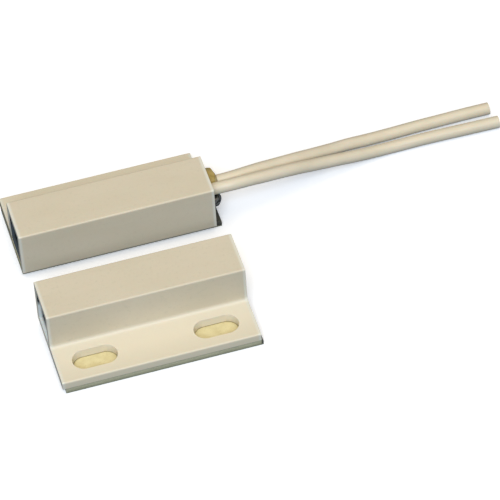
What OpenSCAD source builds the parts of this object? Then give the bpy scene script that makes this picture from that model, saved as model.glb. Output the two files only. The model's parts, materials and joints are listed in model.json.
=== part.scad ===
// Door contact sensor: a reed switch unit and a magnet unit, each an L-shaped
// housing on adhesive foam tape, lying side by side with their flat faces
// towards each other.  Millimetres, +Z up, Z = 0 on the mounting surface.
// X = 0 at the middle of both housings, +X towards the leads.
// Y = 0 at the middle of the switch unit's block, +Y away from the magnet.

/* [Housing] */
// Length of each housing
housing_len = 38.1; // [30:0.1:60]
// Depth of the block that holds the works
block_depth = 9.8; // [9.4:0.1:14]
// Depth of the screw flange in front of the block
flange_depth = 9.25; // [8:0.05:14]
// Thickness of the screw flange
flange_t = 1.9; // [1.2:0.05:3]
// Height of the moulding, without its tape
housing_h = 10; // [9.6:0.1:16]
// Wall round the channel
wall = 1.2; // [0.8:0.1:1.2]
// Radius on the long edges
edge_r = 0.35; // [0.1:0.05:0.5]
// Radius where the flange meets the block
root_r = 0.8; // [0.1:0.05:0.9]
// How far the fill stops short of an open end
fill_recess = 0.8; // [0.2:0.1:1.5]

/* [Screw slots] */
// Length of a slot, end to end
slot_len = 8.6; // [6:0.1:10]
// Width of a slot
slot_w = 4.6; // [4.2:0.1:5]
// Distance between the two slots' centres
slot_spacing = 23.3; // [18:0.1:25]
// Distance from the block's face to a slot's centre line
slot_out = 4.7; // [3.5:0.1:5.5]

/* [Tape] */
// Thickness of the foam tape
tape_t = 1.15; // [0.8:0.05:1.5]
// Thickness of the release liner
liner_t = 0.15; // [0.05:0.05:0.3]
// Distance from the flat face to the tape's edge
tape_setback = 1.2; // [0:0.1:2]
// Distance from the flange's edge to the tape's edge
tape_inset = 0.25; // [0:0.05:1]
// How far the switch unit's tape runs out past the lead end
switch_tape_out = 1.3; // [0:0.1:2]
// How far the magnet unit's tape sits along towards the lead end
magnet_tape_shift = 0.5; // [0:0.05:1]

/* [Layout] */
// Gap between the two flat faces
gap = 11.5; // [3:0.5:50]

/* [Leads] */
// Outer diameter of a lead
lead_d = 2.4; // [1.6:0.1:2.4]
// Diameter of its stranded conductor
core_d = 0.9; // [0.5:0.1:1]
// Distance of each lead from the block's middle plane
lead_y = 1.2; // [1.2:0.05:1.25]
// Height of the front lead above the mounting surface
front_lead_z = 7.9; // [7.6:0.1:8.2]
// Height of the rear lead above the mounting surface
rear_lead_z = 7.25; // [6.9:0.05:7.5]
// How far the potting swells out at the lead end
dome_h = 2; // [1:0.1:2.4]
// Radius of that swelling
dome_r = 14; // [8:0.5:20]

/* [Reed switch] */
// Outer diameter of the glass
glass_d = 2.2; // [1.8:0.1:2.2]
// Inner diameter of the glass
glass_bore = 1.6; // [1.4:0.1:1.7]
// Length of the glass
glass_len = 14; // [10:0.5:14]
// Length of the seal at each end of the glass
seal_len = 2; // [1:0.5:3]
// Outer diameter of the buffer sleeve
sleeve_d = 2.8; // [2.5:0.1:2.8]
// Diameter of the reed's wires
stem_d = 0.5; // [0.3:0.1:0.5]
// How far each wire reaches past the middle of the reed
stem_reach = 12.4; // [11:0.1:13]
// Width of a blade
blade_w = 1.2; // [0.8:0.1:1.2]
// Thickness of a blade
blade_t = 0.2; // [0.15:0.05:0.3]
// Distance from the reed's middle plane to each blade
blade_off = 0.1; // [0.05:0.01:0.15]
// How far each blade reaches past the middle
blade_lap = 1; // [0.5:0.1:1.5]
// Thickness of the contact plating
contact_t = 0.03; // [0.02:0.01:0.04]

/* [Magnet] */
// Length of the bar magnet
magnet_len = 25.4; // [15:0.1:28]
// Width and height of the bar magnet
magnet_side = 6.35; // [5:0.05:7]
// Thickness of the foam pad under the magnet
pad_t = 1.1; // [0.5:0.1:1.2]

/* [Hidden] */

$fn = 48;
eps = 0.02;

cream = "#d8ccae";
amber = "#7a5a28";
tape_yellow = "#e2cf89";
liner_olive = "#80826d";
copper = "#c77b4a";
tin = "#c9c9c4";

base_z = liner_t + tape_t;
top_z = base_z + housing_h;
flange_z = base_z + flange_t;
half_len = housing_len / 2;
half_block = block_depth / 2;
flange_y = half_block + flange_depth;
tape_width = flange_y + half_block - tape_setback - tape_inset;
channel_w = block_depth - 2 * wall;
channel_z = base_z + wall;
channel_h = housing_h - 2 * wall;
channel_mid_z = channel_z + channel_h / 2;
magnet_y = -(block_depth + gap);
slot_y = half_block + slot_out;

// The reed lies along the front lead's conductor, so that they can be soldered.
reed_y = -lead_y - 0.6;
reed_z = front_lead_z - 0.37;
stem_end = glass_len / 2;
capsule_end = stem_end - seal_len;
blade_root = capsule_end - eps;
joint_y = (reed_y - lead_y) / 2;
joint_z = (reed_z + front_lead_z) / 2;
solder_x = 9.2;
front_strip_x = 13;
rear_strip_x = -8.5;
cross_x = -11.5;
lead_start_x = 21;

// Routes of the free leads: straight out, down onto the surface, then along it.
front_route = [
    [21, -1.2, 7.9], [24, -1.2, 7.9], [27, -0.95, 7.7], [30, -0.6, 7.3],
    [33, 0, 6.7], [37, 0.9, 5.7], [41, 1.85, 4.5], [45, 2.75, 3.4],
    [49, 3.55, 2.35], [53, 4.25, 1.55], [58, 4.65, 1.2], [63, 4.75, 1.2],
    [68, 4.7, 1.2], [73, 4.6, 1.2], [78.6, 4.5, 1.2]
];
rear_route = [
    [21, 1.2, 7.25], [24, 1.35, 7.2], [27, 1.7, 7.1], [30, 2.2, 6.8],
    [33, 2.85, 6.2], [37, 3.85, 5.3], [41, 4.95, 4.2], [45, 6.1, 3.1],
    [49, 7.1, 2.25], [53, 7.75, 1.55], [58, 8.2, 1.2], [63, 8.4, 1.2],
    [68, 8.5, 1.2], [73, 8.6, 1.2], [77.9, 8.6, 1.2]
];

// A bar lying along X, from x0 to x1, round the line through y, z.
module x_rod(x0, x1, y, z, d) {
    translate([x0, y, z]) rotate([0, 90, 0]) cylinder(d = d, h = x1 - x0);
}

// A block lying along X, centred on y, standing on z.
module x_bar(x0, x1, y, w, z, h) {
    translate([x0, y - w / 2, z]) cube([x1 - x0, w, h]);
}

module round_rect(w, h, r) {
    translate([r, 0]) square([w - 2 * r, h]);
    translate([0, r]) square([w, h - 2 * r]);
    for (x = [r, w - r], y = [r, h - r]) translate([x, y]) circle(r = r);
}

// The L section, with Y across and Z up: the block's middle is at zero.
module housing_section() {
    difference() {
        union() {
            translate([-half_block, 0]) round_rect(block_depth, housing_h, edge_r);
            round_rect(flange_y, flange_t, edge_r);
            difference() {
                translate([half_block - eps, flange_t - eps])
                    square(root_r + eps);
                translate([half_block + root_r, flange_t + root_r])
                    circle(r = root_r);
            }
        }
        translate([-channel_w / 2, wall]) square([channel_w, channel_h]);
    }
}

module slot_cut(x) {
    reach = (slot_len - slot_w) / 2;
    translate([x, slot_y, base_z - 1]) {
        for (side = [-1, 1]) translate([side * reach, 0, 0]) cylinder(d = slot_w, h = flange_t + 2);
        translate([-reach, -slot_w / 2, 0]) cube([2 * reach, slot_w, flange_t + 2]);
    }
}

module housing() {
    difference() {
        translate([-half_len, 0, base_z]) rotate([90, 0, 90])
            linear_extrude(housing_len) housing_section();
        for (side = [-1, 1]) slot_cut(side * slot_spacing / 2);
    }
}

// One layer under a housing, from x0 to x1, as wide as the tape.
module under_layer(x0, x1, z, t) {
    translate([x0, -half_block + tape_setback, z])
        cube([x1 - x0, tape_width, t]);
}

// The magnet unit is the same housing, turned round to face the switch.
module magnet_place() {
    translate([0, magnet_y, 0]) rotate([0, 0, 180]) children();
}

// ---- switch unit ----

module switch_housing() {
    color(cream) housing();
}

module wires_and_reed() {
    x_rod(-stem_end, stem_end, reed_y, reed_z, sleeve_d);
    stem(1);
    stem(-1);
    solder_lap();
    solder_ball();
    conductor_front();
    conductor_rear();
    x_rod(front_strip_x, lead_start_x + 1, -lead_y, front_lead_z, lead_d);
    x_rod(rear_strip_x, lead_start_x + 1, lead_y, rear_lead_z, lead_d);
}

module switch_potting() {
    color(amber) difference() {
        union() {
            x_bar(-half_len + fill_recess, half_len, 0, channel_w, channel_z, channel_h);
            intersection() {
                x_bar(half_len - 1, half_len + dome_h + 1, 0, channel_w, channel_z, channel_h);
                translate([half_len + dome_h - dome_r, 0, channel_mid_z]) sphere(r = dome_r);
            }
        }
        wires_and_reed();
    }
}

module reed_sleeve() {
    color("white") difference() {
        x_rod(-stem_end, stem_end, reed_y, reed_z, sleeve_d);
        x_rod(-stem_end - 1, stem_end + 1, reed_y, reed_z, glass_d);
    }
}

module reed_glass() {
    color("lightgreen", 0.5) difference() {
        x_rod(-stem_end, stem_end, reed_y, reed_z, glass_d);
        x_rod(-capsule_end, capsule_end, reed_y, reed_z, glass_bore);
        x_rod(-stem_end - 1, stem_end + 1, reed_y, reed_z, stem_d);
    }
}

// One of the reed's wires; side is 1 towards the leads and -1 away from them.
module stem(side) {
    x_rod(min(side * capsule_end, side * stem_reach), max(side * capsule_end, side * stem_reach),
        reed_y, reed_z, stem_d);
}

module reed_stem_right() {
    color(tin) stem(1);
}

module reed_stem_left() {
    color(tin) stem(-1);
}

// The right blade lies above the reed's middle plane and the left one below it.
module blade(side) {
    x0 = min(side * blade_root, -side * blade_lap);
    x1 = max(side * blade_root, -side * blade_lap);
    z = side > 0 ? reed_z + blade_off : reed_z - blade_off - blade_t;
    x_bar(x0, x1, reed_y, blade_w, z, blade_t);
}

module contact(side) {
    reach = blade_lap * 0.8;
    z = side > 0 ? reed_z + blade_off - contact_t : reed_z - blade_off;
    x_bar(-reach, reach, reed_y, blade_w - 0.2, z, contact_t);
}

module reed_blade_right() {
    color(tin) blade(1);
}

module reed_blade_left() {
    color(tin) blade(-1);
}

module contact_right() {
    color("gold") contact(1);
}

module contact_left() {
    color("gold") contact(-1);
}

// Solder round the lap of the front conductor and the reed's right wire.
module solder_lap() {
    taper = 0.6;
    body = stem_reach - solder_x - 2 * taper;
    translate([solder_x, joint_y, joint_z]) rotate([0, 90, 0]) {
        cylinder(r1 = 0.5, r2 = 0.85, h = taper);
        translate([0, 0, taper]) cylinder(r = 0.85, h = body);
        translate([0, 0, taper + body]) cylinder(r1 = 0.85, r2 = 0.5, h = taper);
    }
}

// Solder round the rear conductor's end and the reed's left wire.
module solder_ball() {
    translate([cross_x, reed_y + 0.1, (reed_z + rear_lead_z) / 2]) sphere(r = 0.95);
}

module conductor_front() {
    x_rod(solder_x - 0.2, lead_start_x, -lead_y, front_lead_z, core_d);
}

module conductor_rear() {
    x_rod(cross_x, lead_start_x, lead_y, rear_lead_z, core_d);
    translate([cross_x, lead_y, rear_lead_z]) {
        sphere(d = core_d);
        rotate([90, 0, 0]) cylinder(d = core_d, h = lead_y - reed_y - stem_d / 2 - 0.05);
    }
}

module solder_right() {
    color(tin) difference() {
        solder_lap();
        stem(1);
        conductor_front();
    }
}

module solder_left() {
    color(tin) difference() {
        solder_ball();
        stem(-1);
        conductor_rear();
    }
}

module core_front() {
    color(copper) conductor_front();
}

module core_rear() {
    color(copper) conductor_rear();
}

module jacket_front() {
    color(cream) difference() {
        x_rod(front_strip_x, lead_start_x, -lead_y, front_lead_z, lead_d);
        x_rod(front_strip_x - 1, lead_start_x + 1, -lead_y, front_lead_z, core_d);
    }
}

module jacket_rear() {
    color(cream) difference() {
        x_rod(rear_strip_x, lead_start_x, lead_y, rear_lead_z, lead_d);
        x_rod(rear_strip_x - 1, lead_start_x + 1, lead_y, rear_lead_z, core_d);
    }
}

// A round cord swept along a route, with one ring of points at each point of it.
function unit(v) = v / norm(v);
function heading(route, i) =
    i == 0 ? [1, 0, 0] : unit(route[min(i + 1, len(route) - 1)] - route[i - 1]);
function ring(at, along, r, sides) =
    let (across = unit(cross(along, [0, 0, 1])), up = cross(across, along))
    [for (k = [0:sides - 1])
        let (a = (k + 0.5) * 360 / sides) at + r * (cos(a) * across + sin(a) * up)];

module cord(route, d, sides = 8) {
    n = len(route);
    points = [for (i = [0:n - 1]) each ring(route[i], heading(route, i), d / 2, sides)];
    skin = [for (i = [0:n - 2], k = [0:sides - 1])
        let (next = (k + 1) % sides, a = i * sides, b = (i + 1) * sides)
        each [[a + k, a + next, b + next], [a + k, b + next, b + k]]];
    start_cap = [for (k = [sides - 1:-1:0]) k];
    end_cap = [for (k = [0:sides - 1]) (n - 1) * sides + k];
    polyhedron(points = points, faces = concat(skin, [start_cap, end_cap]));
}

module lead_front() {
    color(cream) cord(front_route, lead_d);
}

module lead_rear() {
    color(cream) cord(rear_route, lead_d);
}

module switch_tape() {
    color(tape_yellow) under_layer(-half_len + 0.1, half_len + switch_tape_out, liner_t, tape_t);
}

module switch_liner() {
    color(liner_olive) under_layer(-half_len + 0.1, half_len + switch_tape_out, 0, liner_t);
}

// ---- magnet unit ----

module magnet_housing() {
    color(cream) magnet_place() housing();
}

module bar_magnet() {
    color("dimgray") magnet_place()
        x_bar(-magnet_len / 2, magnet_len / 2, 0, magnet_side, channel_z + pad_t, magnet_side);
}

module magnet_pad() {
    color("gray") magnet_place()
        x_bar(-magnet_len / 2, magnet_len / 2, 0, magnet_side, channel_z, pad_t);
}

module magnet_plug(side) {
    inner = magnet_len / 2;
    outer = half_len - fill_recess;
    magnet_place() x_bar(min(side * inner, side * outer), max(side * inner, side * outer),
        0, channel_w, channel_z, channel_h);
}

module magnet_plug_left() {
    color(amber) magnet_plug(1);
}

module magnet_plug_right() {
    color(amber) magnet_plug(-1);
}

module magnet_layer(z, t) {
    // The tape was cut a little short and stuck on off centre.
    short = 0.1;
    translate([magnet_tape_shift - half_len, magnet_y - flange_y + tape_inset, z])
        translate([short, 0, 0])
            cube([housing_len - 2 * short, tape_width, t]);
}

module magnet_tape() {
    color(tape_yellow) magnet_layer(liner_t, tape_t);
}

module magnet_liner() {
    color(liner_olive) magnet_layer(0, liner_t);
}

switch_housing();
switch_potting();
reed_sleeve();
reed_glass();
reed_stem_right();
reed_stem_left();
reed_blade_right();
reed_blade_left();
contact_right();
contact_left();
solder_right();
solder_left();
core_front();
core_rear();
jacket_front();
jacket_rear();
lead_front();
lead_rear();
switch_tape();
switch_liner();
magnet_housing();
bar_magnet();
magnet_pad();
magnet_plug_left();
magnet_plug_right();
magnet_tape();
magnet_liner();
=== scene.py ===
# %% [markdown]
# # A door contact sensor
# The real object is two small L-shaped mouldings stuck down with foam tape. One holds a reed
# switch and has two leads, and the other holds a bar magnet. The CAD model gives every place and
# size, and this lesson gives the pieces their looks. The frame is loaded first, because all that
# follows is placed from it.

# %% Load the frame
import json
import math

import bpy
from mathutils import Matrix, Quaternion, Vector


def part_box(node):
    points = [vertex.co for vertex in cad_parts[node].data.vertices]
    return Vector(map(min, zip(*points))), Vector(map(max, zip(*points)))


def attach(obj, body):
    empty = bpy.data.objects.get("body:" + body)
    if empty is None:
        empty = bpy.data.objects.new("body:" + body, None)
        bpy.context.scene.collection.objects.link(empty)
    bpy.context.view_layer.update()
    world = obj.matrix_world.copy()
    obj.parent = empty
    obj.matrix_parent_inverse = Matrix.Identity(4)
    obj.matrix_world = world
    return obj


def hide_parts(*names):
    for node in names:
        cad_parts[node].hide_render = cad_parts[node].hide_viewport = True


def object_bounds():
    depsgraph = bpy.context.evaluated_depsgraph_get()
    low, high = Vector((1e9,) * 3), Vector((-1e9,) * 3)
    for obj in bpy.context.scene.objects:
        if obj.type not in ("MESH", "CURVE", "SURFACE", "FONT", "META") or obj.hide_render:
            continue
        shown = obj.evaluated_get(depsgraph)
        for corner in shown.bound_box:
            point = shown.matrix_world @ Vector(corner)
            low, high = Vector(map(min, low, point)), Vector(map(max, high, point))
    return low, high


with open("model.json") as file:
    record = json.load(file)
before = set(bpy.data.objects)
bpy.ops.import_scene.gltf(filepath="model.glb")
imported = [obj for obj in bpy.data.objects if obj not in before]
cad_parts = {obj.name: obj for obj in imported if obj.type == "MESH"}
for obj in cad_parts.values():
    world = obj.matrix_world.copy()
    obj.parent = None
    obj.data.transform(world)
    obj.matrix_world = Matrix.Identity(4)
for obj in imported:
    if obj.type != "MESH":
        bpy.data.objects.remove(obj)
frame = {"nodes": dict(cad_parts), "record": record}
MM = 0.001
cad_low, cad_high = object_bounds()
print("CAD box, mm:", [round(side / MM, 1) for side in cad_high - cad_low])

# %% [markdown]
# ## The camera
# A small product looks best from well back through a long lens, so that its edges stay nearly
# parallel. The camera could be placed by eye. Here it is placed by two angles, a distance and the
# spot it looks at, because those are easy to read and to change.

# %% The camera
camera_azimuth = math.radians(-13.05)
camera_elevation = math.radians(47.1)
camera_roll = math.radians(-4.2)
camera_distance = 748 * MM
aim = Vector((23.6, -11.5, 0)) * MM
away = Vector((
    math.sin(camera_azimuth) * math.cos(camera_elevation),
    -math.cos(camera_azimuth) * math.cos(camera_elevation),
    math.sin(camera_elevation),
))
turn = (-away).to_track_quat("-Z", "Y") @ Quaternion((0, 0, 1), camera_roll)
bpy.ops.object.camera_add(location=aim + away * camera_distance, rotation=turn.to_euler())
camera = bpy.context.object
camera.data.sensor_width = 36
camera.data.lens = 284
bpy.context.scene.camera = camera
print("camera at, mm:", [round(c / MM) for c in camera.location])

# %% [markdown]
# ## Picking what to work on
# An operator acts on everything that is selected, so each step starts from an empty selection.
# Faces and edges could be picked by their numbers, but numbers change as soon as a cut is made.
# They are picked by where they are instead, which stays true.


# %% Picking what to work on
def clear_selection():
    if bpy.context.object and bpy.context.object.mode != "OBJECT":
        bpy.ops.object.mode_set(mode="OBJECT")
    bpy.ops.object.select_all(action="DESELECT")


def only(piece):
    """Makes piece the one selected and active object."""
    clear_selection()
    piece.select_set(True)
    bpy.context.view_layer.objects.active = piece


def pick_faces(piece, test):
    """Opens edit mode with only the faces selected whose centre and normal pass the test."""
    only(piece)
    mesh = piece.data
    for element in (mesh.vertices, mesh.edges):
        element.foreach_set("select", [False] * len(element))
    for face in mesh.polygons:
        face.select = bool(test(face.center, face.normal))
    bpy.context.tool_settings.mesh_select_mode = (False, False, True)
    bpy.ops.object.mode_set(mode="EDIT")


def pick_edges(piece, test):
    """Opens edit mode with only the edges selected whose middle and direction pass the test."""
    only(piece)
    mesh = piece.data
    for element in (mesh.vertices, mesh.polygons):
        element.foreach_set("select", [False] * len(element))
    for edge in mesh.edges:
        a, b = (mesh.vertices[v].co for v in edge.vertices)
        edge.select = bool(test((a + b) / 2, (b - a).normalized()))
    bpy.context.tool_settings.mesh_select_mode = (False, True, False)
    bpy.ops.object.mode_set(mode="EDIT")


def leave_edit():
    bpy.ops.object.mode_set(mode="OBJECT")


def near(a, b, slack=0.02 * MM):
    return abs(a - b) < slack


# %% [markdown]
# ## Working on a whole piece
# A modifier could stay live, but an applied one leaves a plain mesh, whose faces the next step
# can pick. For the same reason a piece's place is moved into its mesh, and its object sits at
# the origin, where a CAD node's object is too.


# %% Working on a whole piece
def settle(piece, name):
    """Moves a piece's place into its mesh, so that its object sits at the origin."""
    only(piece)
    bpy.ops.object.transform_apply(location=True, rotation=True, scale=True)
    piece.name = name
    piece.data.name = name
    return piece


def modify(piece, kind, **settings):
    """Adds a modifier, sets it and applies it."""
    only(piece)
    modifier = piece.modifiers.new(kind.title(), kind)
    for setting, value in settings.items():
        setattr(modifier, setting, value)
    bpy.ops.object.modifier_apply(modifier=modifier.name)


def smooth(piece, degrees):
    """Shades a piece smooth, all but the edges that turn by more than that angle."""
    only(piece)
    bpy.ops.object.shade_smooth_by_angle(angle=math.radians(degrees))


# %% [markdown]
# ## The two leads
# Each lead is an extruded PVC tube over stranded copper. It leaves the potting straight, comes
# down under its own weight and then lies on the surface, and its far end is cut off with a
# slightly rounded rim. A bevelled curve could stay a curve, but a cut end needs a face that can be
# inset, so the curve is made a mesh. The routes repeat the CAD model's, point for point.

# %% The routes of the leads, in millimetres
FRONT_ROUTE = [
    (21, -1.2, 7.9), (24, -1.2, 7.9), (27, -0.95, 7.7), (30, -0.6, 7.3),
    (33, 0, 6.7), (37, 0.9, 5.7), (41, 1.85, 4.5), (45, 2.75, 3.4),
    (49, 3.55, 2.35), (53, 4.25, 1.55), (58, 4.65, 1.2), (63, 4.75, 1.2),
    (68, 4.7, 1.2), (73, 4.6, 1.2), (78.6, 4.5, 1.2),
]
REAR_ROUTE = [
    (21, 1.2, 7.25), (24, 1.35, 7.2), (27, 1.7, 7.1), (30, 2.2, 6.8),
    (33, 2.85, 6.2), (37, 3.85, 5.3), (41, 4.95, 4.2), (45, 6.1, 3.1),
    (49, 7.1, 2.25), (53, 7.75, 1.55), (58, 8.2, 1.2), (63, 8.4, 1.2),
    (68, 8.5, 1.2), (73, 8.6, 1.2), (77.9, 8.6, 1.2),
]
jacket_low, jacket_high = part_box("jacket_front")
core_low, core_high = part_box("core_front")
lead_radius = (jacket_high.z - jacket_low.z) / 2
core_radius = (core_high.z - core_low.z) / 2
print("lead radius, mm:", round(lead_radius / MM, 3))


# %% A tube along a route
def tube_along(name, route):
    """A mesh tube along the route, and the points of its centreline."""
    curve = bpy.data.curves.new(name, "CURVE")
    curve.dimensions = "3D"
    curve.resolution_u = 8
    spline = curve.splines.new("BEZIER")
    spline.bezier_points.add(len(route) - 1)
    for point, place in zip(spline.bezier_points, route):
        point.co = Vector(place) * MM
        point.handle_left_type = point.handle_right_type = "AUTO"
    tube = bpy.data.objects.new(name, curve)
    bpy.context.collection.objects.link(tube)
    bpy.context.view_layer.update()
    centreline = [vertex.co.copy() for vertex in tube.to_mesh().vertices]
    tube.to_mesh_clear()
    curve.bevel_depth = lead_radius
    curve.bevel_resolution = 10
    curve.use_fill_caps = True
    only(tube)
    bpy.ops.object.convert(target="MESH")
    return bpy.context.object, centreline


# %% Both leads, as tubes with cut ends
RIM = 0.4 * MM
STRAND_RECESS = 0.35 * MM


def cut_end(tube, end, heading):
    """Rounds the rim of the far end and sinks the hole that the conductor fills."""
    ring = RIM * 1.1  # wider than the rim, so that the bevel stays inside it
    pick_faces(tube, lambda centre, normal: near(centre.x, end.x, RIM) and normal.x > 0.9)
    bpy.ops.mesh.inset(thickness=ring, depth=0)
    bpy.ops.mesh.inset(thickness=lead_radius - core_radius - ring, depth=0)
    bpy.ops.mesh.inset(thickness=0.001 * MM, depth=-STRAND_RECESS)
    leave_edit()
    slack = 0.05 * MM
    pick_edges(
        tube,
        lambda middle, along: near((middle - end).dot(heading), 0, slack)
        and near((middle - end).length, lead_radius, slack),
    )
    bpy.ops.mesh.bevel(offset=RIM, segments=5, affect="EDGES")
    leave_edit()


leads = {}
for side, route in (("front", FRONT_ROUTE), ("rear", REAR_ROUTE)):
    tube, centreline = tube_along(f"lead_{side}_jacket", route)
    heading = (centreline[-1] - centreline[-2]).normalized()
    cut_end(tube, centreline[-1], heading)
    only(tube)
    bpy.ops.mesh.customdata_custom_splitnormals_clear()
    smooth(tube, 40)
    length = sum((b - a).length for a, b in zip(centreline, centreline[1:]))
    leads[side] = {"tube": tube, "line": centreline, "heading": heading, "length": length}
    print(tube.name, "is", round(length / MM, 1), "mm long")

# %% [markdown]
# ## The strands at the cut ends
# A stranded conductor shows at the cut as seven round wires, one in the middle and six about it.
# They could be painted on the end face, but a small cylinder for each catches the light as the
# real ones do, and costs little.

# %% The strands at the cut ends
STRAND_RADIUS = core_radius / 3 * 0.98  # three side by side, with a hair between them
STRAND_LENGTH = 3 * MM


def strands_at(name, end, along):
    """Seven short wires, packed round the axis, that end just inside the jacket."""
    turn = along.to_track_quat("Z", "Y")
    wires = []
    for index in range(7):
        angle = index * math.tau / 6
        spread = 0 if index == 6 else core_radius * 2 / 3
        offset = Vector((math.cos(angle), math.sin(angle), 0)) * spread
        sunk = STRAND_RECESS * (0.45 + 0.12 * (index % 3))  # the cutter leaves them uneven
        clear_selection()
        bpy.ops.mesh.primitive_cylinder_add(
            vertices=20, radius=STRAND_RADIUS, depth=STRAND_LENGTH,
            location=end - along * (STRAND_LENGTH / 2 + sunk) + turn @ offset,
            rotation=turn.to_euler(),
        )
        wire = bpy.context.object
        modify(wire, "BEVEL", width=STRAND_RADIUS * 0.3, segments=2, limit_method="ANGLE")
        wires.append(wire)
    clear_selection()
    for wire in wires:
        wire.select_set(True)
    bpy.context.view_layer.objects.active = wires[0]
    bpy.ops.object.join()
    bundle = settle(bpy.context.object, name)
    smooth(bundle, 40)
    return bundle


for side, lead in leads.items():
    lead["strands"] = strands_at(f"lead_{side}_strands", lead["line"][-1], lead["heading"])
print("strands are", round(2 * STRAND_RADIUS / MM, 2), "mm thick")

# %% [markdown]
# ## The housings
# Each housing is a length of L section with a square channel through its block and two screw
# slots through its flange. The section could be drawn and extruded, but working as on a bench
# reads better: start from the block, pull the flange out of its side, then cut the channel and
# the slots. Its sizes come from the nodes and mounts of the CAD model.

# %% The sizes of a housing
mounts = {mount["name"]: mount for mount in frame["record"]["mounts"]}
house_low, house_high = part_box("switch_housing")
fill_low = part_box("switch_potting")[0]
wall = fill_low.y - house_low.y
channel_back = -fill_low.y  # the channel is centred on the origin
block_back = channel_back + wall
channel_top = house_high.z - wall
slots = mounts["switch_slots"]
slot_centre = Vector(slots["pos_m"])
slot_radius = slots["dims"]["hole_r_mm"] * MM
slot_reach = slots["dims"]["slot_length_mm"] * MM / 2 - slot_radius
slot_step = slots["dims"]["spacing_x_mm"] * MM / 2
flange_top = 2 * slot_centre.z - house_low.z  # a slot's centre is half way up the flange
print("flange, mm:", round((flange_top - house_low.z) / MM, 2))


# %% The housing's body
def add_block(name, low, high):
    clear_selection()
    bpy.ops.mesh.primitive_cube_add(size=1, location=(low + high) / 2, scale=high - low)
    return settle(bpy.context.object, name)


def make_section(name):
    """The block with its flange, before any cut."""
    block_top = Vector((house_high.x, block_back, house_high.z))
    piece = add_block(name, house_low, block_top)
    pick_faces(piece, lambda centre, normal: True)
    bpy.ops.mesh.bisect(plane_co=(0, 0, flange_top), plane_no=(0, 0, 1))
    leave_edit()
    pick_faces(piece, lambda centre, normal: normal.y > 0.9 and centre.z < flange_top)
    flange_out = (0, house_high.y - block_back, 0)
    bpy.ops.mesh.extrude_region_move(TRANSFORM_OT_translate={"value": flange_out})
    leave_edit()
    # The bisect's lines have done their work, all but the one at the flange's root.
    short_of_root = block_back - 0.1 * MM
    pick_edges(
        piece,
        lambda middle, along: near(middle.z, flange_top) and middle.y < short_of_root,
    )
    bpy.ops.mesh.dissolve_edges()
    leave_edit()
    return piece


housing = make_section("switch_housing_shell")
print("the section has", len(housing.data.polygons), "faces")

# %% [markdown]
# The moulding's long edges are rounded and the flange runs into the block with a soft fillet.
# Both are bevels along picked edges, and they come before the cuts, because a cut leaves edges
# across the flange that a wide bevel would fold over.

# %% The housing's long edges
EDGE_RADIUS = 0.35 * MM
ROOT_RADIUS = 0.8 * MM


def on_line(middle, along, y, z):
    """True for an edge that runs along X through that y and z."""
    return abs(along.x) > 0.99 and near(middle.y, y) and near(middle.z, z)


outer_corners = [
    (house_low.y, house_high.z), (block_back, house_high.z), (house_low.y, house_low.z),
    (house_high.y, flange_top), (house_high.y, house_low.z),
]
pick_edges(
    housing,
    lambda middle, along: any(on_line(middle, along, y, z) for y, z in outer_corners),
)
bpy.ops.mesh.bevel(offset=EDGE_RADIUS, segments=5, affect="EDGES")
leave_edit()
pick_edges(housing, lambda middle, along: on_line(middle, along, block_back, flange_top))
bpy.ops.mesh.bevel(offset=ROOT_RADIUS, segments=8, affect="EDGES")
leave_edit()
print("with rounded edges it has", len(housing.data.polygons), "faces")

# %% [markdown]
# The channel and the slots are cut next. A slot's cutter could be a block and two cylinders, but
# one cylinder whose halves are drawn apart is a single clean shape. The cut ends and the slot
# rims are only just broken, so they keep a crisp line of light, and a bevel by angle gives that.

# %% The housing's channel, slots and rims
BREAK = 0.09 * MM
CUTTER_HEIGHT = 6 * MM
CUTTER_SIDES = 64


def combine(piece, other, operation):
    """Cuts other out of piece, or joins it on, and throws other away."""
    modify(piece, "BOOLEAN", operation=operation, solver="EXACT", object=other)
    bpy.data.objects.remove(other)


def slot_cutter(x):
    """A cutter with round ends: a cylinder whose two halves are drawn apart."""
    clear_selection()
    bpy.ops.mesh.primitive_cylinder_add(
        vertices=CUTTER_SIDES, radius=slot_radius, depth=CUTTER_HEIGHT,
        location=(x, slot_centre.y, slot_centre.z),
        rotation=(0, 0, math.pi / CUTTER_SIDES),  # half a side, so no corner is on the middle
    )
    cutter = settle(bpy.context.object, "slot_cutter")
    for vertex in cutter.data.vertices:
        vertex.co.x += math.copysign(slot_reach, vertex.co.x - x)
    return cutter


past_end = Vector((1, 0, 0)) * MM
channel_low = Vector((house_low.x, fill_low.y, fill_low.z))
channel_high = Vector((house_high.x, channel_back, channel_top))
channel = add_block("channel", channel_low - past_end, channel_high + past_end)
combine(housing, channel, "DIFFERENCE")
for x in (-slot_step, slot_step):
    combine(housing, slot_cutter(x), "DIFFERENCE")
modify(
    housing, "BEVEL", width=BREAK, segments=2, limit_method="ANGLE",
    angle_limit=math.radians(50), harden_normals=False,
)
smooth(housing, 35)
modify(housing, "WEIGHTED_NORMAL", keep_sharp=True)
print("with its cuts and broken rims it has", len(housing.data.polygons), "faces")

# %% [markdown]
# Both units are the same moulding, and the magnet unit's is turned so that the two blocks face
# each other. It could be modelled again, but a turned copy is sure to be the same.


# %% The magnet unit's housing
def copy_piece(piece, name):
    twin = piece.copy()
    twin.data = piece.data.copy()
    bpy.context.collection.objects.link(twin)
    twin.name = name
    return twin


magnet_low, magnet_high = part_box("magnet_housing")
magnet_housing = copy_piece(housing, "magnet_housing_shell")
magnet_housing.rotation_euler.z = math.pi
magnet_housing.location.y = magnet_high.y + house_low.y
settle(magnet_housing, "magnet_housing_shell")
pair_middle_y = (house_high.y + magnet_low.y) / 2
print("flat faces are", round((house_low.y - magnet_high.y) / MM, 2), "mm apart")

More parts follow.
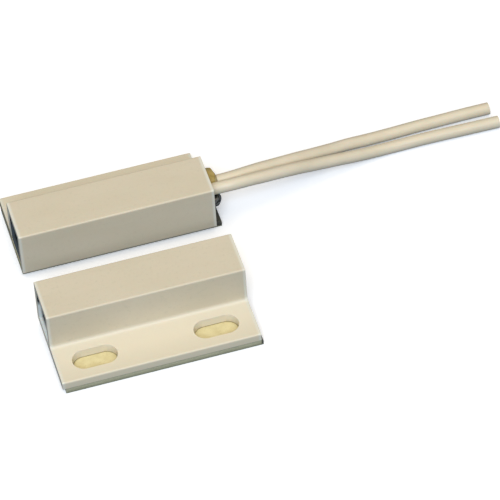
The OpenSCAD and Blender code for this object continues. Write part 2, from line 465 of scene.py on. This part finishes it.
# %% [markdown]
# ## Tools for materials
# Colours are written as the sRGB hex values that a paint chart gives, and Blender works in linear
# light, so one function turns one into the other. Each pattern's scale comes from a real size: a
# noise with features of a given size has a scale of one over that size, in metres. Almost every
# finish here is a colour with others laid over it, where a pattern or a place says so.


# %% Tools for materials
def linear(code):
    """An sRGB hex colour, such as "#d8ccae", in linear light."""
    parts = [int(code[i:i + 2], 16) / 255 for i in (1, 3, 5)]
    return [c / 12.92 if c <= 0.04045 else ((c + 0.055) / 1.055) ** 2.4 for c in parts] + [1]


def feature(size_mm):
    """The texture scale that gives features of about that size."""
    return 1 / (size_mm * MM)


def add_node(tree, kind, inputs=None, **settings):
    """Adds a node, sets it, and links its inputs or fills them. A hex value becomes a colour."""
    node = tree.nodes.new(kind)
    for setting, value in settings.items():
        setattr(node, setting, value)
    for socket, value in (inputs or {}).items():
        if isinstance(value, bpy.types.NodeSocket):
            tree.links.new(value, node.inputs[socket])
        else:
            node.inputs[socket].default_value = linear(value) if isinstance(value, str) else value
    return node


def start_material(name, roughness, ior=1.5, metallic=0):
    """A material with a plain shader: its node tree, its shader and its object coordinates."""
    material = bpy.data.materials.new(name)
    material.use_nodes = True
    tree = material.node_tree
    shader = tree.nodes["Principled BSDF"]
    shader.inputs["Roughness"].default_value = roughness
    shader.inputs["IOR"].default_value = ior
    shader.inputs["Metallic"].default_value = metallic
    place = add_node(tree, "ShaderNodeTexCoord").outputs["Object"]
    return material, tree, shader, place


def lay_over(tree, under, over, *limits):
    """Lays one colour over another. Each limit is (value, start, full): the upper colour begins
    to show where the value passes start and covers where it reaches full. All have to hold."""
    cover = None
    for value, start, full in limits:
        share = add_node(
            tree, "ShaderNodeMapRange", {"Value": value, "From Min": start, "From Max": full},
        ).outputs["Result"]
        if cover:
            share = add_node(
                tree, "ShaderNodeMath", {0: cover, 1: share}, operation="MULTIPLY",
            ).outputs["Value"]
        cover = share
    return add_node(
        tree, "ShaderNodeMix", {0: cover, 6: under, 7: over}, data_type="RGBA",
    ).outputs[2]


def dress(tree, shader, colour, *reliefs):
    """Gives the shader its colour and its relief. Each relief is (pattern, depth in mm)."""
    tree.links.new(colour, shader.inputs["Base Color"])
    under = None
    for pattern, depth_mm in reliefs:
        inputs = {"Height": pattern, "Distance": depth_mm * MM, "Strength": 1}
        if under:
            inputs["Normal"] = under
        under = add_node(tree, "ShaderNodeBump", inputs).outputs["Normal"]
    tree.links.new(under, shader.inputs["Normal"])


# %% [markdown]
# ## The cream plastic
# This is ABS, moulded with a very fine matt texture. ABS scatters light just under its surface
# and reflects a broad soft highlight. The tool's texture is too fine to see from here, so it is
# drawn at a quarter of a millimetre, and the faint flow of the melt along the moulding is drawn
# as long pale clouds. Painted shade darkens the corners, and the edges are paler, a painted
# highlight and a little rubbing, and the Ambient Occlusion node finds both. The rest goes by
# place: painted bounce light makes the flange paler than the block, most of all at its root,
# each end has a painted highlight strip, and what looks like resin lies on the left end of the
# switch unit, with painted shade darkening it towards the flange. One plastic could be made for
# each unit, but a single one that reads its place does for both.


# %% What shows on the plastic in some places only
def flange_bounce_light(tree, y, z, colour):
    """Painted bounce light, most at the root, on both flanges: behind the switch unit's block and
    in front of the magnet's.
    """
    from_middle = add_node(
        tree, "ShaderNodeMath", {0: y, 1: pair_middle_y}, operation="SUBTRACT",
    ).outputs["Value"]
    outward = add_node(
        tree, "ShaderNodeMath", {0: from_middle}, operation="ABSOLUTE",
    ).outputs["Value"]
    root = block_back - pair_middle_y
    outer_edge = house_high.y - pair_middle_y
    pale = lay_over(tree, "#e6dcc4", "#dacfb4", (outward, root, outer_edge))
    return lay_over(
        tree, colour, pale,
        (z, flange_top + ROOT_RADIUS, flange_top), (outward, root, root + 0.3 * MM),
    )


def end_highlight_strip(tree, x, colour):
    """A painted highlight: a pale strip next to each end."""
    from_middle = add_node(
        tree, "ShaderNodeMath", {0: x}, operation="ABSOLUTE",
    ).outputs["Value"]
    end = house_high.x
    return lay_over(tree, colour, "#dedac9", (from_middle, end - 0.7 * MM, end - 0.3 * MM))


def resin_look_with_shade(tree, x, y, z, colour):
    """What looks like resin low on the switch unit's left end face, along the foot of the block
    and the flange, with painted shade darkening it towards the flange's end.
    """
    resin_and_shade = lay_over(tree, "#b3ab7c", "#8f8a6c", (y, 3 * MM, 6 * MM))
    return lay_over(
        tree, colour, resin_and_shade,
        (x, house_low.x + 0.12 * MM, house_low.x + 0.06 * MM),
        (z, flange_top + 0.3 * MM, flange_top),
        (y, house_low.y + 0.8 * MM, house_low.y + 1.2 * MM),
    )


# %% The cream plastic
def cream_abs():
    material, tree, shader, place = start_material("ABS, cream, fine matt mould texture", 0.5)
    along = add_node(
        tree, "ShaderNodeMapping", {"Vector": place, "Scale": (0.3, 1, 1)},
    ).outputs["Vector"]
    flow = add_node(
        tree, "ShaderNodeTexNoise",
        {"Vector": along, "Scale": feature(5), "Detail": 3, "Distortion": 0.4},
    ).outputs["Fac"]
    mottle = add_node(
        tree, "ShaderNodeTexNoise",
        {"Vector": place, "Scale": feature(0.7), "Detail": 3, "Roughness": 0.6},
    ).outputs["Fac"]
    grain = add_node(
        tree, "ShaderNodeTexNoise", {"Vector": place, "Scale": feature(0.25), "Detail": 2},
    ).outputs["Fac"]
    colour = lay_over(tree, "#d6cab0", "#d1c5aa", (flow, 0.3, 0.7))
    colour = lay_over(tree, colour, "#cabfa5", (mottle, 0.55, 0.85))
    x, y, z = add_node(tree, "ShaderNodeSeparateXYZ", {"Vector": place}).outputs
    colour = flange_bounce_light(tree, y, z, colour)
    colour = end_highlight_strip(tree, x, colour)
    colour = resin_look_with_shade(tree, x, y, z, colour)
    # Painted shade in the concave corners, and a painted highlight with a little rubbing on the
    # convex edges.
    corner = add_node(
        tree, "ShaderNodeAmbientOcclusion", {"Distance": 0.3 * MM}, samples=8,
    ).outputs["AO"]
    edge = add_node(
        tree, "ShaderNodeAmbientOcclusion", {"Distance": 0.5 * MM}, samples=8, inside=True,
    ).outputs["AO"]
    colour = lay_over(tree, colour, "#b5a583", (corner, 0.7, 0.2))
    colour = lay_over(tree, colour, "#e3dac4", (edge, 0.8, 0.35))
    shader.inputs["Subsurface Weight"].default_value = 0.05
    shader.inputs["Subsurface Scale"].default_value = 0.5 * MM
    gloss = add_node(
        tree, "ShaderNodeMapRange",
        {"Value": mottle, "From Min": 0.3, "From Max": 0.7, "To Min": 0.45, "To Max": 0.56},
    ).outputs["Result"]
    tree.links.new(gloss, shader.inputs["Roughness"])
    dress(tree, shader, colour, (grain, 0.012), (flow, 0.02))
    return material


# %% [markdown]
# A finished piece says three things: its materials, the body it rides on and the CAD nodes it
# replaces. Each piece could say them in its own lines, but one function makes sure that none is
# forgotten.


# %% Both housings get their finish
def finish_piece(piece, body, materials, stands_for):
    """Gives a piece its materials and says what body it rides on and what nodes it replaces."""
    piece.data.materials.clear()
    for material in materials:
        piece.data.materials.append(material)
    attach(piece, body)
    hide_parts(*stands_for)
    print(piece.name, "has", len(piece.data.polygons), "faces")


abs_cream = cream_abs()
finish_piece(housing, "switch_unit", [abs_cream], ["switch_housing"])
finish_piece(magnet_housing, "magnet_unit", [abs_cream], ["magnet_housing"])

# %% [markdown]
# ## The poured epoxy
# The channel ends are closed with epoxy that was poured in. It climbs the walls nearly to the rim
# and dries hollow in the middle, and round the leads it stands proud in two glossy swellings, one
# over the rear lead and one below the front lead. They could be cut from spheres, but a poured
# blob is squarer: a cube drawn part way to a ball has the look. A low noise then takes away its
# evenness. The potting also gets a bore for the reed's sleeve, which stays a piece of its own.

# %% The shapes that the epoxy takes
HOLLOW_STEPS = ((0.1, 0.3), (0.2, 0.5), (0.35, 0.5), (0.6, 0.4), (0.9, 0.2))


def hollow_end(piece, side):
    """Sinks one end in steps of (inwards, deeper) in mm, steep at the walls and almost flat in
    the middle."""
    pick_faces(piece, lambda centre, normal: normal.x * side > 0.5)
    for inwards, deeper in HOLLOW_STEPS:
        bpy.ops.mesh.inset(thickness=inwards * MM, depth=-deeper * MM)
    leave_edit()


def swelling(name, middle, reach, squareness):
    """A blob between a ball, at 0, and a box, at 1, with a slightly uneven skin."""
    clear_selection()
    bpy.ops.mesh.primitive_cube_add(size=2, location=(0, 0, 0))
    blob = bpy.context.object
    bpy.ops.object.mode_set(mode="EDIT")
    bpy.ops.mesh.subdivide(number_cuts=15)
    bpy.ops.transform.tosphere(value=1 - squareness)
    leave_edit()
    widest = max(vertex.co.x for vertex in blob.data.vertices)
    blob.scale = reach / widest
    blob.location = middle
    settle(blob, name)
    ripple = bpy.data.textures.new("uneven_skin", "CLOUDS")
    ripple.noise_scale = 1.8 * MM
    modify(blob, "DISPLACE", texture=ripple, texture_coords="LOCAL", strength=0.2 * MM)
    return blob


# %% The switch unit's potting
RIM_GAP = Vector((0.1, 0, 0)) * MM
# Each swelling's middle and its reach to either side, in millimetres, and its squareness.
SWELLINGS = {
    "dome_over_rear_lead": ((18, 1.3, 7.15), (3.25, 2.4, 2.95), 0.4),
    "dome_below_front_lead": ((18, -1.7, 5.8), (3.05, 1.9, 1.3), 0.3),
}
potting = add_block("switch_potting_fill", channel_low + RIM_GAP, channel_high - RIM_GAP)
hollow_end(potting, -1)
for name, (middle, reach, squareness) in SWELLINGS.items():
    blob = swelling(name, Vector(middle) * MM, Vector(reach) * MM, squareness)
    combine(potting, blob, "UNION")
sleeve_low, sleeve_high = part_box("reed_sleeve")
clear_selection()
bpy.ops.mesh.primitive_cylinder_add(
    vertices=32, radius=(sleeve_high.z - sleeve_low.z) / 2, depth=sleeve_high.x - sleeve_low.x,
    location=(sleeve_low + sleeve_high) / 2, rotation=(0, math.pi / 2, 0),
)
combine(potting, settle(bpy.context.object, "sleeve_space"), "DIFFERENCE")
smooth(potting, 50)
print("the potting reaches", round(max(v.co.x for v in potting.data.vertices) / MM, 2), "mm")

# %% The magnet unit's plugs
plugs = {}
for side, name in ((-1, "magnet_plug_left"), (1, "magnet_plug_right")):
    low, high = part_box(name)
    if side < 0:
        low.x = house_low.x + RIM_GAP.x
    else:
        high.x = house_high.x - RIM_GAP.x
    plugs[name] = add_block(f"{name}_fill", low, high)
    hollow_end(plugs[name], side)
    smooth(plugs[name], 50)
print(len(plugs), "plugs are hollowed")

# %% [markdown]
# ## The epoxy's finish
# Poured epoxy sets glossy and a little cloudy, with small bubbles, and light goes some way in, so
# it looks warm and deep. The dome is amber, and under the leads lies a painted shadow with
# painted grey glints. In the hollow left ends the skin is duller and painted shade darkens the
# amber, and the walls get painted tones: painted shade in the switch unit and painted light on
# the pale epoxy in the magnet unit, with more painted shade high on the walls and deep down
# them. Separate pieces could be made for these, but they meet without an edge, so they are
# colours that go by place.

# %% What shows on the epoxy in some places only
# Where the painted shadow under the leads begins: below this height and past this point along X.
SHADOW_TOP = 8 * MM
SHADOW_START = 15 * MM
hollow_x = house_low.x + 1.55 * MM  # the walls of a hollow lie to the left of this


def painted_shadow_with_glints(tree, place, colour):
    """At the lead end, a painted shadow under the leads, with painted grey glints on it."""
    x, _, z = add_node(tree, "ShaderNodeSeparateXYZ", {"Vector": place}).outputs
    glint_pattern = add_node(
        tree, "ShaderNodeTexNoise",
        {"Vector": place, "Scale": feature(0.7), "Detail": 3, "Distortion": 0.5},
    ).outputs["Fac"]
    # Black painted shadow with grey painted glints.
    shadow_with_glints = lay_over(tree, "#1b1a16", "#6d6c67", (glint_pattern, 0.5, 0.65))
    return lay_over(
        tree, colour, shadow_with_glints,
        (z, SHADOW_TOP, SHADOW_TOP - 0.8 * MM), (x, SHADOW_START, SHADOW_START + 3 * MM),
    )


def painted_hollow_tones(tree, place, colour, painted_wall_tone):
    """At the left ends, a painted tone on the walls of the hollow, and painted shade high on the
    walls and deep in the hollow.
    """
    x, _, z = add_node(tree, "ShaderNodeSeparateXYZ", {"Vector": place}).outputs
    on_walls = (x, hollow_x + 0.3 * MM, hollow_x)
    colour = lay_over(tree, colour, painted_wall_tone, on_walls)
    # Painted shade high on the walls and deep in the hollow.
    upper, inner = (
        add_node(
            tree, "ShaderNodeMapRange", {"Value": value, "From Min": start, "From Max": full},
        ).outputs["Result"]
        for value, start, full in (
            (z, 5.8 * MM, 7 * MM), (x, house_low.x + 0.45 * MM, house_low.x + 0.85 * MM),
        )
    )
    hollow_shade = add_node(
        tree, "ShaderNodeMath", {0: upper, 1: inner}, operation="MAXIMUM",
    ).outputs["Value"]
    return lay_over(tree, colour, "#1b2326", (hollow_shade, 0, 1), on_walls)


# %% The epoxy's finish
def poured_epoxy(name, thick, thin, gloss, painted_shading):
    """Cloudy epoxy with small bubbles: its two colours, its gloss from 0 to 1, and its painted
    shading.
    """
    material, tree, shader, place = start_material(name, 0.4 - 0.28 * gloss, 1.55)
    cloud = add_node(
        tree, "ShaderNodeTexNoise",
        {"Vector": place, "Scale": feature(2.2), "Detail": 4, "Distortion": 0.6},
    ).outputs["Fac"]
    bubbles = add_node(
        tree, "ShaderNodeTexVoronoi", {"Vector": place, "Scale": feature(0.8)}, feature="F1",
    ).outputs["Distance"]
    colour = lay_over(tree, thick, thin, (cloud, 0.35, 0.65))
    colour = lay_over(tree, colour, thin, (bubbles, 0.16, 0.1))
    colour = painted_shading(tree, place, colour)
    shader.inputs["Subsurface Weight"].default_value = 0.1
    shader.inputs["Subsurface Scale"].default_value = 0.6 * MM
    shader.inputs["Specular IOR Level"].default_value = 0.5 * gloss
    shader.inputs["Coat Weight"].default_value = 0.25 * gloss
    shader.inputs["Coat Roughness"].default_value = 0.04
    dress(tree, shader, colour, (cloud, 0.12))
    return material


amber = poured_epoxy("epoxy, amber, poured and glossy", "#8a7434", "#b59e5a", 1, painted_shadow_with_glints)
# A darker copy of the amber, painted shade, with a duller skin for the hollow. Its walls get a
# dark tone of painted shade.
dull_shaded_amber = poured_epoxy(
    "epoxy, amber, dull skin, painted darker", "#7d6a34", "#9c8849", 0.3,
    lambda tree, place, colour: painted_hollow_tones(tree, place, colour, "#50585c"),
)
# The magnet's pale epoxy. Its hollow walls get a paler tone, painted light.
pale = poured_epoxy(
    "epoxy, pale, dull skin", "#b5b7ae", "#c6c8bf", 0.3,
    lambda tree, place, colour: painted_hollow_tones(tree, place, colour, "#eef0ea"),
)
finish_piece(potting, "switch_unit", [amber, dull_shaded_amber], ["switch_potting"])
left_end_x = -15 * MM  # the hollow's faces lie to the left of this
for face in potting.data.polygons:
    face.material_index = 1 if face.center.x < left_end_x else 0
for name, plug in plugs.items():
    finish_piece(plug, "magnet_unit", [pale], [name])

# %% [markdown]
# ## Foam tape and liner
# Each unit stands on a strip of double-sided foam tape with its paper liner still on. The foam
# is pressed a little flat, so its sides bulge. A wide bevel could round the sides, but the bulge
# is much flatter than a quarter circle, so the strip is cut round its middle, and its top and
# bottom are drawn in a little.


# %% Foam tape and liner
def make_tape(name, node):
    low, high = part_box(node)
    piece = add_block(name, low, high)
    middle = (low + high) / 2
    pick_faces(piece, lambda centre, normal: True)
    bpy.ops.mesh.bisect(plane_co=middle, plane_no=(0, 0, 1))
    leave_edit()
    bulge = 0.07 * MM
    half = (high - low) / 2
    for vertex in piece.data.vertices:
        if not near(vertex.co.z, middle.z):
            vertex.co.x = middle.x + (vertex.co.x - middle.x) * (1 - bulge / half.x)
            vertex.co.y = middle.y + (vertex.co.y - middle.y) * (1 - bulge / half.y)
    pick_edges(piece, lambda centre, along: near(centre.z, low.z) or near(centre.z, high.z))
    bpy.ops.mesh.bevel(offset=0.08 * MM, segments=3, affect="EDGES")
    leave_edit()
    smooth(piece, 40)
    return piece


def make_liner(name, node):
    piece = add_block(name, *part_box(node))
    modify(piece, "BEVEL", width=0.03 * MM, segments=2, limit_method="ANGLE")
    smooth(piece, 40)
    return piece


# %% [markdown]
# The foam is polyethylene, and its cut edge shows small open cells that break up the light. The
# glue on its top is a smooth yellow film that shows through the slots, with a line of painted
# shade where it meets their walls. The liner is waxed paper with a faint pulp pattern. Where the
# tape sticks out past a housing's end it is coloured darker. That could be a material of its
# own, but it fades in, so it is laid over both.


# %% The finishes of tape and liner
def darker_past_ends(tree, place, colour):
    """Darker colour where the tape sticks out past the housings' ends."""
    x_place = add_node(tree, "ShaderNodeSeparateXYZ", {"Vector": place}).outputs["X"]
    from_middle = add_node(
        tree, "ShaderNodeMath", {0: x_place}, operation="ABSOLUTE",
    ).outputs["Value"]
    end = house_high.x
    return lay_over(tree, colour, "#4b4a41", (from_middle, end - 0.15 * MM, end + 0.15 * MM))


def foam_edge():
    material, tree, shader, place = start_material("polyethylene foam, cut edge", 0.75)
    cells = add_node(
        tree, "ShaderNodeTexVoronoi",
        {"Vector": place, "Scale": feature(0.3)}, feature="DISTANCE_TO_EDGE",
    ).outputs["Distance"]
    tint = add_node(
        tree, "ShaderNodeTexNoise", {"Vector": place, "Scale": feature(2), "Detail": 2},
    ).outputs["Fac"]
    colour = lay_over(tree, "#bab696", "#aeaa8a", (tint, 0.35, 0.65))
    colour = lay_over(tree, colour, "#bdb998", (cells, 0.16, 0.02))
    dress(tree, shader, darker_past_ends(tree, place, colour), (cells, 0.08))
    return material


def glue_film():
    material, tree, shader, place = start_material("acrylic glue film, yellow", 0.3, 1.47)
    mottle = add_node(
        tree, "ShaderNodeTexNoise",
        {"Vector": place, "Scale": feature(1.4), "Detail": 4, "Roughness": 0.6},
    ).outputs["Fac"]
    fibres = add_node(
        tree, "ShaderNodeTexNoise",
        {"Vector": place, "Scale": feature(0.35), "Detail": 2, "Distortion": 1.5},
    ).outputs["Fac"]
    slot_wall_shade = add_node(
        tree, "ShaderNodeAmbientOcclusion", {"Distance": 0.35 * MM}, samples=8,
    ).outputs["AO"]
    colour = lay_over(tree, "#d3c593", "#ded2a2", (mottle, 0.35, 0.65))
    colour = lay_over(tree, colour, "#bfae78", (fibres, 0.6, 0.8))
    colour = darker_past_ends(tree, place, colour)
    # Painted shade along the foot of the slot walls.
    colour = lay_over(tree, colour, "#8c7a4c", (slot_wall_shade, 0.85, 0.45))
    dress(tree, shader, colour, (fibres, 0.03))
    return material


def liner_paper():
    material, tree, shader, place = start_material("waxed paper, olive", 0.5)
    pulp = add_node(
        tree, "ShaderNodeTexNoise",
        {"Vector": place, "Scale": feature(0.6), "Detail": 5, "Roughness": 0.7},
    ).outputs["Fac"]
    colour = lay_over(tree, "#7d7f69", "#8c8d76", (pulp, 0.35, 0.65))
    dress(tree, shader, colour, (pulp, 0.02))
    return material


foam, glue, paper = foam_edge(), glue_film(), liner_paper()
for unit in ("switch", "magnet"):
    tape = make_tape(f"{unit}_foam_tape", f"{unit}_tape")
    finish_piece(tape, f"{unit}_unit", [foam, glue], [f"{unit}_tape"])
    for face in tape.data.polygons:
        face.material_index = 1 if abs(face.normal.z) > 0.9 else 0
    liner = make_liner(f"{unit}_paper_liner", f"{unit}_liner")
    finish_piece(liner, f"{unit}_unit", [paper], [f"{unit}_liner"])


# %% [markdown]
# ## The leads' finish
# The jacket is extruded PVC with a satin skin, so its marks run along it, and light goes a little
# way in. The copper strands are bright at the cut, where the cutter went through. A pattern that
# follows each lead could be drawn on its own map, but the leads run nearly along X, so stretching
# the pattern along X is enough.


# %% The leads' finish
def lead_pvc():
    material, tree, shader, place = start_material("PVC, cream, extruded", 0.3, 1.53)
    drawn = add_node(
        tree, "ShaderNodeMapping", {"Vector": place, "Scale": (0.08, 1, 1)},
    ).outputs["Vector"]
    marks = add_node(
        tree, "ShaderNodeTexNoise", {"Vector": drawn, "Scale": feature(0.5), "Detail": 3},
    ).outputs["Fac"]
    cloud = add_node(
        tree, "ShaderNodeTexNoise", {"Vector": place, "Scale": feature(6), "Detail": 2},
    ).outputs["Fac"]
    colour = lay_over(tree, "#ddd1b7", "#d7cbb0", (cloud, 0.35, 0.65))
    colour = lay_over(tree, colour, "#cfc3a7", (marks, 0.6, 0.9))
    shader.inputs["Subsurface Weight"].default_value = 0.1
    shader.inputs["Subsurface Scale"].default_value = 0.8 * MM
    dress(tree, shader, colour, (marks, 0.01))
    return material


def bare_metal(name, light, dark, roughness, size_mm):
    """A metal with fine marks: its two colours, its roughness and the size of its marks."""
    material, tree, shader, place = start_material(name, roughness, metallic=1)
    marks = add_node(
        tree, "ShaderNodeTexNoise", {"Vector": place, "Scale": feature(size_mm), "Detail": 4},
    ).outputs["Fac"]
    colour = lay_over(tree, light, dark, (marks, 0.35, 0.65))
    dress(tree, shader, colour, (marks, 0.01))
    return material


pvc = lead_pvc()
copper = bare_metal("copper, cut strand", "#e09a6c", "#b86b3e", 0.3, 0.3)
for side, lead in leads.items():
    finish_piece(lead["tube"], "switch_unit", [pvc], [f"lead_{side}"])
    finish_piece(lead["strands"], "switch_unit", [copper], [])

# %% [markdown]
# ## The works inside
# The reed switch, its joints and the magnet are hidden by the potting, and their CAD shapes are
# right as they are. They only need finishes, so each node gets one: clear greenish glass, bright
# tinned and plated metal with faint marks, matt white silicone, dark ground ferrite, and foam with
# a coarse grain. One function makes all the metals and one all the plain solids, since only their
# colours and grain differ.


# %% The works inside
def plain_solid(name, light, dark, roughness, size_mm, depth_mm):
    """A rubbery or stony solid with a grain of that size and depth."""
    material, tree, shader, place = start_material(name, roughness)
    grain = add_node(
        tree, "ShaderNodeTexNoise",
        {"Vector": place, "Scale": feature(size_mm), "Detail": 4, "Roughness": 0.6},
    ).outputs["Fac"]
    colour = lay_over(tree, light, dark, (grain, 0.35, 0.65))
    dress(tree, shader, colour, (grain, depth_mm))
    return material


def green_glass():
    material, tree, shader, place = start_material("soda-lime glass, green cast", 0.04, 1.52)
    waves = add_node(
        tree, "ShaderNodeTexNoise", {"Vector": place, "Scale": feature(1.5), "Detail": 1},
    ).outputs["Fac"]
    shader.inputs["Transmission Weight"].default_value = 1
    dress(tree, shader, lay_over(tree, "#dff0df", "#cfe8d2", (waves, 0, 1)), (waves, 0.02))
    return material


glass = green_glass()
nickel_iron = bare_metal("nickel-iron, tinned", "#c9c8c2", "#a9a8a2", 0.28, 0.4)
plating = bare_metal("rhodium plating", "#e2e2e0", "#cfcfcc", 0.15, 0.2)
solder = bare_metal("tin solder", "#d6d6d3", "#b4b4b0", 0.25, 0.6)
silicone = plain_solid("silicone, white", "#e4e4e0", "#d8d8d3", 0.5, 0.8, 0.01)
ferrite = plain_solid("ferrite, ground", "#4a4a4c", "#3a3a3c", 0.45, 0.3, 0.02)
pad_foam = plain_solid("polyurethane foam, grey", "#6a6a6a", "#555555", 0.85, 0.35, 0.06)
inner = {
    "reed_sleeve": silicone, "reed_glass": glass, "reed_stem_right": nickel_iron,
    "reed_stem_left": nickel_iron, "reed_blade_right": nickel_iron, "reed_blade_left": nickel_iron,
    "contact_right": plating, "contact_left": plating, "solder_right": solder,
    "solder_left": solder, "core_front": copper, "core_rear": copper, "jacket_front": pvc,
    "jacket_rear": pvc, "bar_magnet": ferrite, "magnet_pad": pad_foam,
}
for name, material in inner.items():
    materials = frame["nodes"][name].data.materials
    materials.clear()
    materials.append(material)
print(len(inner), "inner nodes have finishes")

# %% [markdown]
# ## Floor and light
# The object lies on a plain white board. A lit board could be left to show what the lamps give
# it, but it would turn grey and tint the object, so it is hidden from bounced light and gives off
# a little light of its own, and only soft contact shadows are left on it.

# %% The board
clear_selection()
bpy.ops.mesh.primitive_plane_add(size=4, location=(0, 0, cad_low.z - 0.05 * MM))
floor = bpy.context.object
floor.name = "floor"
board, tree, shader, place = start_material("matt board, white", 0.9)
fibre = add_node(
    tree, "ShaderNodeTexNoise", {"Vector": place, "Scale": feature(1)},
).outputs["Fac"]
tree.links.new(
    lay_over(tree, "#ffffff", "#fcfcfb", (fibre, 0, 1)), shader.inputs["Base Color"],
)
shader.inputs["Emission Color"].default_value = linear("#ffffff")
shader.inputs["Emission Strength"].default_value = 0.22
floor.data.materials.append(board)
floor.visible_diffuse = False
floor.visible_glossy = False
print("the board lies at", round(floor.location.z / MM, 2), "mm")

# %% [markdown]
# One broad warm lamp overhead gives the flat tops their tone, and a cooler one in front, with a
# dim even sky, fills the fronts just so far that they stay a good deal darker than the tops.
# Many small lamps could do the same, but two and a sky are easier to balance.

# %% The lamps and the sky
LAMP_DISTANCE = 2
COOL_WHITE = "#e0edff"
middle = (cad_low + cad_high) / 2


def add_lamp(name, size, watts, colour, azimuth, elevation):
    """A square lamp that shines at the object's middle from that direction, in degrees."""
    a, e = math.radians(azimuth), math.radians(elevation)
    out = Vector((math.sin(a) * math.cos(e), -math.cos(a) * math.cos(e), math.sin(e)))
    clear_selection()
    bpy.ops.object.light_add(
        type="AREA", location=middle + out * LAMP_DISTANCE,
        rotation=(-out).to_track_quat("-Z", "Y").to_euler(),
    )
    lamp = bpy.context.object
    lamp.name = name
    lamp.data.size = size
    lamp.data.energy = watts
    lamp.data.color = linear(colour)[:3]
    print(name, "lamp,", watts, "W")


add_lamp("overhead", size=2.6, watts=27, colour="#ffeac6", azimuth=0, elevation=85)
add_lamp("front", size=1.1, watts=31.5, colour=COOL_WHITE, azimuth=-15, elevation=46)
world = bpy.data.worlds.new("even sky")
bpy.context.scene.world = world
world.use_nodes = True
sky = world.node_tree.nodes["Background"]
sky.inputs["Color"].default_value = linear(COOL_WHITE)
sky.inputs["Strength"].default_value = 0.245
bpy.context.scene.view_settings.view_transform = "Standard"
